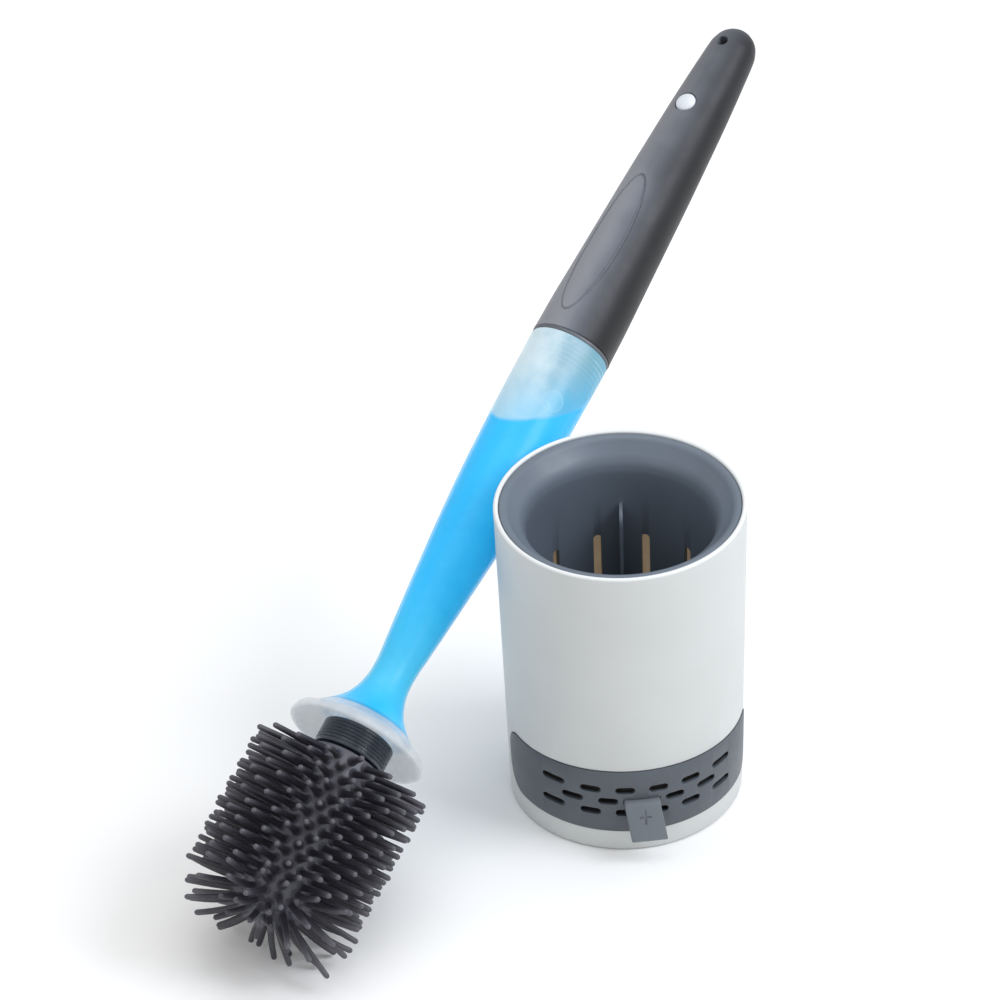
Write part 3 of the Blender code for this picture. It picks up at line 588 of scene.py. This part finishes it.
def build_liner():
    t = THROAT
    dish = catmull([(49.3, 142.85), (47.9, 142.8), (46.5, 142.1), (45.0, 140.5), (43.2, 138.7), (41.4, 136.9),
                    (40.0, 134.7), (39.2, 132.3), (t, 129.1), (t - 0.05, 119.0)], 5)
    foot = catmull([(t - 0.35, 50.0), (t - 0.7, 46.6), (t - 1.7, 44.7), (t - 4.0, 44.0)], 4)
    prof = ([(49.7, 139.65), (49.78, 139.9), (49.78, 142.3), (49.62, 142.65)] + dish + foot
            + [(0.0, 44.0), (0.0, 42.0), (t - 1.0, 42.0), (t + 0.6, 43.4), (t + 1.35, 46.0), (t + 1.8, 129.6),
               (t + 2.6, 133.6), (t + 5.0, 136.4), (47.4, 139.65)])
    ob = finish_mesh("liner_skin", lathe_bm(prof, 200), STAND @ turn(LINER_TURN))
    cuts = bmesh.new()
    for i in range(12):
        merge(cuts, prism_bm(stadium(3.6, 47.4, 10, 0.0, 75.7), "Y", 34, 46), turn(15 + i * 30))
    for ring, count in ((0.0, 1), (12.0, 6), (24.0, 6)):
        for i in range(count):
            merge(cuts, prism_bm(circle(3.2, 24, ring), "Z", 40, 46), turn(i * 60 + 1.7 - LINER_TURN))
    cut(ob, cuts)
    ribs = bmesh.new()
    for i in range(3):
        outline = [(t + 0.7, 49.0), (t + 0.7, 115.0), (t - 0.3, 114.9), (t - 5.4, 113.0), (t - 7.0, 111.8),
                   (t - 7.8, 110.2), (t - 8.1, 107.5), (t - 9.0, 43.0), (t - 3.0, 43.0)]
        merge(ribs, prism_bm(outline, "X", -0.68, 0.68), turn(i * 120))
    cut(ob, ribs, "UNION")
    soften(ob, 0.16, 50.0)
    ob.data.materials.append(plastic("grey_liner", (0.118, 0.145, 0.184), 0.44, 0.06, 2400.0, mottle=30.0))
    return ob


def band_bm():
    """The tray's front, cut to the shape of the opening with a little play."""
    zb, zh = OPEN_Z0 - 2.0, OPEN_Z1 + 4.0
    prof = ([(44.4, zb)] + [(shell_r(z) + BAND_PROUD, z) for z in (zb, 25.0, zh)]
            + [(shell_r(zh) - 2.0, zh), (shell_r(27) - 2.0, 27.0), (44.4, 23.2)])
    front = finish_mesh("tray_band", lathe_bm(prof, 224), STAND)
    cut(front, prism_bm(opening_outline(-0.4), "X", -70, 70), "INTERSECT")
    bm = bmesh.new()
    bm.from_mesh(front.data)
    bpy.data.objects.remove(front, do_unlink=True)
    return bm


def vents_bm():
    """Three rows of slots round the tray's front, and the slit that takes the tab."""
    holes = bmesh.new()
    for row, z in enumerate(VENT_ROWS):
        for s in ((-2, -1, 1, 2) if row == 1 else (-2.5, -1.5, -0.5, 0.5, 1.5, 2.5)):
            x = s * VENT_PITCH
            depth = 1.5 - math.sqrt(43.0 ** 2 - x * x)
            merge(holes, prism_bm(stadium(VENT_L, VENT_H, 10, x, z), "Y", -52, depth))
    slit = [(-7.8, 25.2), (7.8, 25.2), (7.8, 27.8), (-7.8, 27.8)]
    merge(holes, prism_bm(slit, "Y", -52, -40))
    return holes


def build_tray():
    cup = [(0.0, 10.5), (43.2, 10.5), (44.4, 11.1), (45.0, 12.0), (45.2, 13.2), (45.2, 23.7), (44.9, 24.0),
           (43.9, 24.0), (43.6, 23.7), (43.6, 14.4), (43.1, 13.0), (41.8, 12.3), (0.0, 12.3)]
    ob = finish_mesh("tray_skin", lathe_bm(cup, 200), STAND)
    cut(ob, band_bm(), "UNION")
    cut(ob, vents_bm())
    soften(ob, 0.22, 50.0)
    ob.data.materials.append(tray_material())
    return ob


TAB_Z, TAB_END = 26.5, (-56.9, 11.6)                 # height of the slit, and the tab's lower end (y, z)
TAB_HALF_W, TAB_HALF_T, TAB_EDGE = 7.5, 1.0, 0.55


def tab_path():
    """Middle line of the strip (y, z): out through the slit, over a bend, and down to its end."""
    z, r = TAB_Z, 2.4
    path = [(-43.4, z), (-47.0, z), (-48.6, z)] + arc(-49.8, z - r, r, 90, 160, 12)
    bend = path[-1]
    path += [(bend[0] + (TAB_END[0] - bend[0]) * k / 8 - 0.3 * math.sin(math.pi * k / 8),
              bend[1] + (TAB_END[1] - bend[1]) * k / 8) for k in range(1, 9)]
    return path, bend[1]


def tab_section():
    """Rounded rectangle: across the strip, and through it."""
    w, t = TAB_HALF_W - TAB_EDGE, TAB_HALF_T - TAB_EDGE
    sec = []
    for cx, cy, a0 in ((w, t, 0), (-w, t, 90), (-w, -t, 180), (w, -t, 270)):
        sec += arc(cx, cy, TAB_EDGE, a0, a0 + 90, 5)
    return sec


def strip_bm():
    """The section swept along the path, leaning a little to one side below the bend, with a rounded end."""
    path, bend_z = tab_path()
    sec = tab_section()
    bm = bmesh.new()
    rings = []
    for i, p in enumerate(path):
        a = path[max(i - 1, 0)]
        b = path[min(i + 1, len(path) - 1)]
        t = Vector((b[0] - a[0], b[1] - a[1])).normalized()
        n = Vector((-t.y, t.x))
        askew = 1.9 * max(0.0, bend_z - p[1]) / (bend_z - TAB_END[1])
        rings.append([bm.verts.new(Vector((s[0] + askew, p[0] + n.x * s[1], p[1] + n.y * s[1])) * MM)
                      for s in sec])
    foot = Vector((askew, *path[-1])) * MM
    past = Vector((0, t.x, t.y)) * 0.35 * MM
    shrink = Vector((1 - 0.3 / TAB_HALF_W, 0.7, 0.7))
    rings.append([bm.verts.new(foot + past + (v.co - foot) * shrink) for v in rings[-1]])
    for a, b in zip(rings, rings[1:]):
        for k in range(len(sec)):
            h = (k + 1) % len(sec)
            bm.faces.new((a[k], a[h], b[h], b[k]))
    bm.faces.new(rings[0])
    bm.faces.new(rings[-1][::-1])
    return bm


def build_tab():
    """The curled strip, with the bar that holds it inside and a moulded plus."""
    ob = finish_mesh("tab_skin", strip_bm(), STAND)
    bar = [(-44.4, TAB_Z - 1.5), (-42.4, TAB_Z - 1.5), (-42.4, TAB_Z + 2.2), (-44.4, TAB_Z + 2.2)]
    cut(ob, prism_bm(bar, "X", -10, 10), "UNION")
    w, a, b = 0.4, 2.4, 3.2
    plus = [(-a, -w), (-w, -w), (-w, -b), (w, -b), (w, -w), (a, -w),
            (a, w), (w, w), (w, b), (-w, b), (-w, w), (-a, w)]
    mark = bmesh.new()
    merge(mark, prism_bm(plus, "Y", -3.0, 0.45),
          Matrix.Translation(Vector((0.7, -54.55, 21.75)) * MM) @ Matrix.Rotation(math.radians(-20), 4, "X"))
    cut(ob, mark)
    ob.data.materials.append(plastic("grey_tab", (0.130, 0.148, 0.168), 0.55, 0.06, 2000.0, 0.00003, 60.0,
                                     spec=0.4))
    return ob


# ---- brush --------------------------------------------------------------------------------------------
BOTTLE = [(29.2, 3.7), (27.6, 4.5), (25.0, 6.1), (21.6, 9.0), (17.8, 12.4), (14.6, 16.0), (12.2, 19.8),
          (10.4, 24.2), (9.3, 29.0), (8.9, 34.2), (9.1, 40.0), (9.8, 47.0), (11.5, 65.0), (13.2, 85.0),
          (14.95, 107.0), (16.3, 131.0), (17.1, 158.0), (17.5, 185.0), (17.6, 196.9)]


def bottle_inner(gap):
    return ([(13.6 - gap, 11.9), (14.3 - gap, 12.6), (14.3 - gap, 13.6), (12.9 - gap, 16.4)]
            + [(r - 1.0 - gap, u) for r, u in catmull(BOTTLE, 4) if 18.6 < u < 192])


def build_bottle():
    prof = ([(27.9, 0.0), (29.3, 0.0), (29.85, 0.3), (30.0, 0.9), (29.75, 2.2)] + catmull(BOTTLE, 5)
            + [(17.4, 197.5), (16.1, 197.5), (15.9, 197.2), (15.86, 192.0)] + bottle_inner(0.0)[::-1]
            + [(2.0, 11.9), (2.0, 9.4), (7.4, 9.4), (7.4, -2.5), (12.0, -2.5), (12.0, 4.6), (13.0, 4.9)]
            + [(13.2 + 0.22 * (k % 2), 5.1 + 0.42 * k) for k in range(9)] + [(13.2, 8.8), (15.8, 8.9)]
            + catmull([(16.6, 8.9), (18.4, 8.4), (20.4, 7.2), (23.0, 5.3), (26.0, 2.9), (27.3, 1.6)], 4))
    ob = finish_mesh("bottle_skin", lathe_bm(prof, 160), BRUSH, 50.0)
    ob.data.materials.append(bottle_material())
    return ob


def build_liquid():
    inner = bottle_inner(0.1)
    prof = [(0.0, 12.0), (13.0, 12.0)] + inner + [(inner[-1][0], 215.0), (0.0, 215.0)]
    ob = finish_mesh("liquid_skin", lathe_bm(prof, 128), BRUSH, 50.0)
    rot = LEVEL_UP.to_track_quat("Z", "Y").to_matrix().to_4x4()
    box = bmesh.new()
    merge(box, prism_bm([(-90, -90), (90, -90), (90, 90), (-90, 90)], "Z", 0, 120),
          Matrix.Translation(Vector((0, 0, LEVEL_U * MM))) @ rot)
    cut(ob, box)
    ob.data.materials.append(liquid_material())
    return ob


def ring_piece(name, prof, mat):
    ob = finish_mesh(name, lathe_bm(prof, 128), BRUSH)
    ob.data.materials.append(mat)
    return ob


def build_plug():
    prof = [(12.8, 181.0), (14.6, 181.0), (15.0, 181.5)]
    for u in (184.6, 187.8, 191.0, 194.2):
        prof += [(15.0, u - 0.9), (15.45, u - 0.3), (15.45, u + 0.3), (15.0, u + 0.9)]
    prof += [(15.0, 211.7), (12.8, 211.7)]
    return ring_piece("plug_skin", prof, plastic("plug_plastic", (0.62, 0.70, 0.74), 0.4, 0.04))


def build_seal():
    prof = [(15.5, 197.6), (17.45, 197.6), (17.6, 197.75), (17.6, 199.0), (17.45, 199.15), (15.5, 199.15)]
    return ring_piece("seal_skin", prof, plastic("seal_rubber", (0.090, 0.097, 0.115), 0.5, 0.05))


HANDLE = [(17.72, 199.9), (17.6, 203.0), (17.35, 217.0), (16.6, 236.0), (15.7, 260.0), (14.9, 281.0),
          (14.0, 300.0), (13.1, 318.0), (12.0, 335.0), (10.6, 353.0), (9.8, 357.4), (8.3, 360.9),
          (6.0, 363.4), (3.2, 365.0), (0.0, 365.5)]


def radius_at(table, u):
    """Radius of a profile at a height."""
    for (r0, u0), (r1, u1) in zip(table, table[1:]):
        if u0 <= u <= u1:
            return r0 + (r1 - r0) * (u - u0) / (u1 - u0)
    return table[-1][0]


def groove_bm(outer):
    """A round-bottomed channel along the grip's oval, following the handle's surface."""
    bm = bmesh.new()

    def point(a, off, out):
        """A point off the oval's centre line, raised out from the handle's surface."""
        y = (PANEL_HALF_W + off) * math.cos(a)
        u = PANEL_U + (PANEL_HALF_L + off) * math.sin(a)
        x = math.sqrt(radius_at(outer, u) ** 2 - y * y)
        return bm.verts.new(Vector((x + out, y, u)) * MM)

    n, k = 160, 9
    bottom = [math.radians(180 + 180 * j / (k - 1)) for j in range(k)]
    rings = []
    for i in range(n):
        a = 2 * math.pi * i / n
        rings.append([point(a, PANEL_R * math.cos(b), PANEL_R * math.sin(b)) for b in bottom]
                     + [point(a, off, 1.2) for off in (PANEL_R, -PANEL_R)])
    m = k + 2
    for i in range(n):
        p, q = rings[i], rings[(i + 1) % n]
        for j in range(m):
            h = (j + 1) % m
            bm.faces.new((p[j], p[h], q[h], q[j]))
    return bm


def build_handle():
    outer = catmull(HANDLE, 6)
    prof = ([(15.1, 199.22), (17.5, 199.22), (17.78, 199.45)] + outer
            + [(0.0, 348.5), (5.0, 348.0), (8.2, 344.0), (10.5, 321.0), (12.4, 288.0), (13.9, 241.0),
               (14.2, 214.0), (15.1, 212.0)])
    ob = finish_mesh("handle_skin", lathe_bm(prof, 192), BRUSH)
    cuts = bmesh.new()
    merge(cuts, prism_bm(circle(4.85, 56, 0.0, BUTTON_U), "X", 2.0, 20.0))
    merge(cuts, prism_bm(circle(2.5, 36, 0.0, HANG_U), "X", -20.0, 20.0))
    merge(cuts, groove_bm(outer))
    cut(ob, cuts)
    soften(ob, 0.18, 48.0)
    ob.data.materials.append(handle_material())
    return ob


def build_button():
    prof = [(0.0, 6.9), (5.4, 6.9), (5.6, 7.1), (5.6, 7.9), (5.4, 8.1), (4.5, 8.1), (4.5, 11.8),
            (4.42, 12.25), (4.2, 12.65), (3.8, 13.0), (3.2, 13.3), (2.4, 13.52), (1.3, 13.68), (0.0, 13.75)]
    bm = lathe_bm(prof, 72)
    quarter = Matrix.Rotation(math.radians(90), 3, "Y")
    bmesh.ops.rotate(bm, verts=bm.verts, cent=(0, 0, 0), matrix=quarter)
    bmesh.ops.translate(bm, verts=bm.verts, vec=(0, 0, BUTTON_U * MM))
    ob = finish_mesh("button_skin", bm, BRUSH)
    ob.data.materials.append(plastic("white_button", (0.62, 0.66, 0.71), 0.3, 0.02, 3000.0, 0.00001, 80.0,
                                     coat=0.3))
    return ob


def build_collar():
    prof = [(5.0, -7.2), (14.9, -7.2), (15.4, -7.0), (15.6, -6.5)]
    for k in range(6):
        u = -5.9 + 1.5 * k
        prof += [(15.6, u), (15.3, u + 0.25), (15.3, u + 0.5), (15.6, u + 0.75)]
    prof += [(15.6, 3.4), (15.4, 3.8), (15.0, 4.0), (12.3, 4.0), (12.3, -5.2), (5.0, -5.2)]
    return ring_piece("collar_skin", prof, plastic("dark_collar", (0.024, 0.035, 0.052), 0.26, 0.1, spec=0.7))


def rod(bm, base, direction, length, bend):
    """One moulded bristle: a tapering round rod with a flared root and a rounded end."""
    d = direction.normalized()
    ref = Vector((0, 0, 1)) if abs(d.z) < 0.9 else Vector((1, 0, 0))
    sides, steps = 12, 7
    rings = []
    stations = [(-1.2 / length, 1.9), (0.35 / length, 1.45), (1.0 / length, 1.12)]
    stations += [(k / steps, 1.0) for k in range(1, steps)]
    stations += [(1 - BRISTLE_R1 / length, 1.0)]
    for q in (math.radians(30), math.radians(60), math.radians(80)):
        stations.append((1 - BRISTLE_R1 * (1 - math.sin(q)) / length, math.cos(q)))
    for t, k in stations:
        tt = max(t, 0.0)
        c = base + d * (length * t) + bend * (tt * tt)
        tan = (d * length + bend * (2 * tt)).normalized()
        s = tan.cross(ref).normalized()
        w = s.cross(tan).normalized()
        rad = (BRISTLE_R0 + (BRISTLE_R1 - BRISTLE_R0) * tt) * k
        rings.append([bm.verts.new((c + rad * (math.cos(2 * math.pi * i / sides) * s
                                               + math.sin(2 * math.pi * i / sides) * w)) * MM)
                      for i in range(sides)])
    end = bm.verts.new((base + d * length + bend) * MM)
    for a, b in zip(rings, rings[1:]):
        for i in range(sides):
            j = (i + 1) % sides
            bm.faces.new((a[i], a[j], b[j], b[i]))
    for i in range(sides):
        bm.faces.new((rings[-1][i], rings[-1][(i + 1) % sides], end))
    bm.faces.new(rings[0][::-1])


def floor_clearance(base, d, length, bend):
    """Height (mm) of a bristle's underside above the floor, where it is lowest."""
    half_thickness = 1.15
    middles = [BRUSH @ ((base + d * length * t + bend * t * t) * MM) for t in (0.5, 0.8, 1.0)]
    return min(p.z / MM for p in middles) - half_thickness


def core_profile():
    """Thick hollow sleeve with a domed end."""
    dome = [(CORE_R * math.cos(math.radians(a)), CORE_CYL - DOME_H * math.sin(math.radians(a)))
            for a in range(8, 90, 8)]
    return ([(11.2, CORE_TOP), (14.6, CORE_TOP), (15.6, -8.5), (CORE_R, -9.6), (CORE_R, -30.0),
             (CORE_R, CORE_CYL)] + dome
            + [(0.0, CORE_CYL - DOME_H), (0.0, -65.2), (4.8, -64.6), (8.8, -62.4), (11.2, -57.0)])


def skew(radial):
    """The rows sit a little askew on the core, as bent silicone does."""
    return -0.24 * radial.dot(FACE) + 0.07 * radial.dot(SIDE)


def add_bristle(bm, base, d, length, wobble, sag):
    """One bristle, bent up and shortened until it clears the floor."""
    side = d.cross(UP).normalized() if abs(d.z) < 0.98 else Vector((1, 0, 0))
    bend = side * rng.uniform(-wobble, wobble) + UP * rng.uniform(-wobble, wobble) * 0.7 + sag
    for _ in range(60):
        if floor_clearance(base, d, length, bend) > 0.05:
            break
        bend = bend + TO_BRUSH @ UP * 0.5
        length -= 0.08
    rod(bm, base, d, length, bend)


def side_bristles(bm):
    """Rows of bristles round the straight part of the core, every other row half a step on."""
    rows, count, top, step = 13, 16, -11.8, 4.7
    for k in range(rows):
        u = top - step * k
        for i in range(count):
            a = 2 * math.pi * (i + 0.5 * (k % 2)) / count + rng.uniform(-0.03, 0.03)
            radial = Vector((math.cos(a), math.sin(a), 0))
            d = (radial + UP * (skew(radial) + rng.uniform(-0.03, 0.03))).normalized()
            base = radial * (CORE_R - 0.1) + UP * (u + rng.uniform(-0.3, 0.3))
            add_bristle(bm, base, d, BRISTLE_L + rng.uniform(-0.6, 0.5), 1.1, Vector((0, 0, 0)))


def tip_bristles(bm):
    """Rings of bristles on the dome. Each ring: its place on the dome, its aim, how many, how long."""
    for tilt, lean, n, length in ((12, 6, 16, 23.0), (31, 18, 16, 24.4), (50, 34, 13, 24.4),
                                  (68, 52, 9, 18.0), (84, 78, 3, 10.0)):
        t, aim = math.radians(tilt), math.radians(lean)
        for i in range(n):
            a = 2 * math.pi * (i + (0.5 if n % 2 else 0.0)) / n + rng.uniform(-0.08, 0.08)
            radial = Vector((math.cos(a), math.sin(a), 0))
            base = radial * (CORE_R * math.cos(t) - 0.1) + UP * (CORE_CYL - DOME_H * math.sin(t) + 0.1)
            d = (radial * math.cos(aim) - UP * (math.sin(aim) - skew(radial) * math.cos(aim))).normalized()
            outward = radial * rng.uniform(0.5, 5.0) * math.sin(t) + UP * rng.uniform(-2.0, 5.0)
            spare = (1.5 * radial.dot(SIDE) - 4.0 * max(0.0, radial.dot(FACE))) * math.sin(t)
            add_bristle(bm, base, d, length + spare + rng.uniform(-1.4, 0.8), 2.2, outward)


def build_bristles():
    """Silicone sleeve: thick core with rows of bristles that lean a little and fan out round the tip."""
    bm = lathe_bm(core_profile(), 72)
    side_bristles(bm)
    tip_bristles(bm)
    ob = finish_mesh("bristle_skin", bm, BRUSH, 40.0)
    ob.data.materials.append(bristle_material())
    return ob


# ---- put together ---------------------------------------------------------------------------------------
def bake(piece):
    """Moves the piece's place into its mesh, and its materials' object coordinates back to its own frame."""
    place = piece.matrix_world.copy()
    back = place.inverted()
    piece.data.transform(place)
    piece.matrix_world = Matrix.Identity(4)
    for mat in piece.data.materials:
        nt = mat.node_tree
        for tc in [n for n in nt.nodes if n.bl_idname == "ShaderNodeTexCoord"]:
            ends = [link.to_socket for link in tc.outputs["Object"].links]
            mp = nt.nodes.new("ShaderNodeMapping")
            mp.inputs["Location"].default_value = back.translation
            mp.inputs["Rotation"].default_value = back.to_euler("XYZ")
            nt.links.new(tc.outputs["Object"], mp.inputs["Vector"])
            for end in ends:
                nt.links.new(mp.outputs["Vector"], end)


def dress(piece, body, slot, *nodes):
    """Puts a finished piece on its body, in place of the CAD nodes it shows."""
    bake(piece)
    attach(piece, body)
    if nodes:
        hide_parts(*nodes)


def recolour(node, mat):
    """Gives a CAD node that is shown as it is a material."""
    ob = frame["nodes"][node]
    if not ob.material_slots:
        ob.data.materials.append(mat)
    for s in ob.material_slots:
        s.material = mat


dress(build_shell(), "holder", "shell", "outer_shell")
dress(build_liner(), "holder", "liner", "inner_liner")
dress(build_tray(), "tray", "tray", "drip_tray")
dress(build_tab(), "tray", "tab", "pull_tab")
dress(build_bottle(), "brush", "bottle", "bottle")
dress(build_liquid(), "brush", "liquid", "cleaning_liquid")
dress(build_plug(), "handle", "plug", "handle_screw_plug")
dress(build_seal(), "handle_seal", "seal", "handle_seal_ring")
dress(build_handle(), "handle", "handle", "handle_shell")
dress(build_button(), "button", "button", "button_cap")
dress(build_collar(), "head", "collar", "head_collar")
dress(build_bristles(), "head", "bristle", "bristle_sleeve")

white = plastic("base_white", (0.56, 0.58, 0.57), 0.42, 0.03)
rubber = plastic("foot_rubber", (0.030, 0.030, 0.032), 0.75, 0.15, 900.0, 0.00008, 120.0, spec=0.3)
silicone = plastic("seal_silicone", (0.55, 0.57, 0.58), 0.5, 0.05)
natural = plastic("natural_plastic", (0.62, 0.66, 0.68), 0.42, 0.04)
steel, steel_nt, steel_bsdf = new_mat("spring_wire")
steel_bsdf.inputs["Metallic"].default_value = 1.0
drawn = ramp(steel_nt, noise(steel_nt, coords(steel_nt), 900.0),
             [(0.3, (0.50, 0.50, 0.52)), (0.7, (0.66, 0.66, 0.68))])
steel_nt.links.new(drawn, steel_bsdf.inputs["Base Color"])
steel_bsdf.inputs["Roughness"].default_value = 0.28
recolour("base_plate", white)
for i in range(1, 5):
    recolour("rubber_foot_%d" % i, rubber)
for node in ("outlet_valve", "valve_o_ring", "head_washer"):
    recolour(node, silicone)
for node in ("valve_stem", "valve_housing", "head_core"):
    recolour(node, natural)
recolour("button_spring", steel)

# ---- floor, light, camera -------------------------------------------------------------------------------
bm = bmesh.new()
bmesh.ops.create_grid(bm, x_segments=2, y_segments=2, size=6.0)
floor = finish_mesh("floor", bm, Matrix.Identity(4), 0)
fmat, fnt, fb = new_mat("pale_floor")
pale = ramp(fnt, noise(fnt, coords(fnt), 6.0, 2.0), [(0.3, (0.90, 0.90, 0.90)), (0.7, (0.92, 0.92, 0.92))])
fnt.links.new(pale, fb.inputs["Base Color"])
fb.inputs["Roughness"].default_value = 0.9
fb.inputs["Specular IOR Level"].default_value = 0.1
floor.data.materials.append(fmat)

world = bpy.data.worlds.new("studio")
bpy.context.scene.world = world
world.use_nodes = True
world.node_tree.nodes["Background"].inputs["Color"].default_value = (1.0, 1.0, 1.0, 1)
world.node_tree.nodes["Background"].inputs["Strength"].default_value = 0.72


def area(name, at, aim, size, power, colour=(1, 1, 1)):
    data = bpy.data.lights.new(name, "AREA")
    data.shape, data.size, data.size_y = "RECTANGLE", size[0], size[1]
    data.energy, data.color = power, colour
    ob = bpy.data.objects.new(name, data)
    bpy.context.scene.collection.objects.link(ob)
    ob.location = at
    ob.rotation_mode = "QUATERNION"
    ob.rotation_quaternion = (Vector(aim) - Vector(at)).to_track_quat("-Z", "Y")


middle = Vector((0.0, 0.0, 0.1))
area("key", (1.25, -0.55, 1.35), middle, (0.9, 0.9), 18.6, (0.90, 0.94, 1.0))
area("top", (0.1, 0.2, 1.8), middle, (1.4, 1.4), 9.0)
area("fill", (-1.3, -1.0, 0.9), middle, (1.0, 1.0), 3.0, (0.96, 0.98, 1.0))

view_up = RIGHT.cross(LOOK)
cam_x = RIGHT * math.cos(ROLL) + view_up * math.sin(ROLL)
cam_y = view_up * math.cos(ROLL) - RIGHT * math.sin(ROLL)
cam_data = bpy.data.cameras.new("camera")
cam = bpy.data.objects.new("camera", cam_data)
bpy.context.scene.collection.objects.link(cam)
cam.matrix_world = Matrix.Translation(HOLDER + EYE) @ Matrix((cam_x, cam_y, -LOOK)).transposed().to_4x4()
cam_data.sensor_width, cam_data.lens, cam_data.shift_x = SENSOR_W, LENS, SHIFT_X
cam_data.clip_end = 50.0
bpy.context.scene.camera = cam
bpy.context.scene.view_settings.view_transform = "Standard"
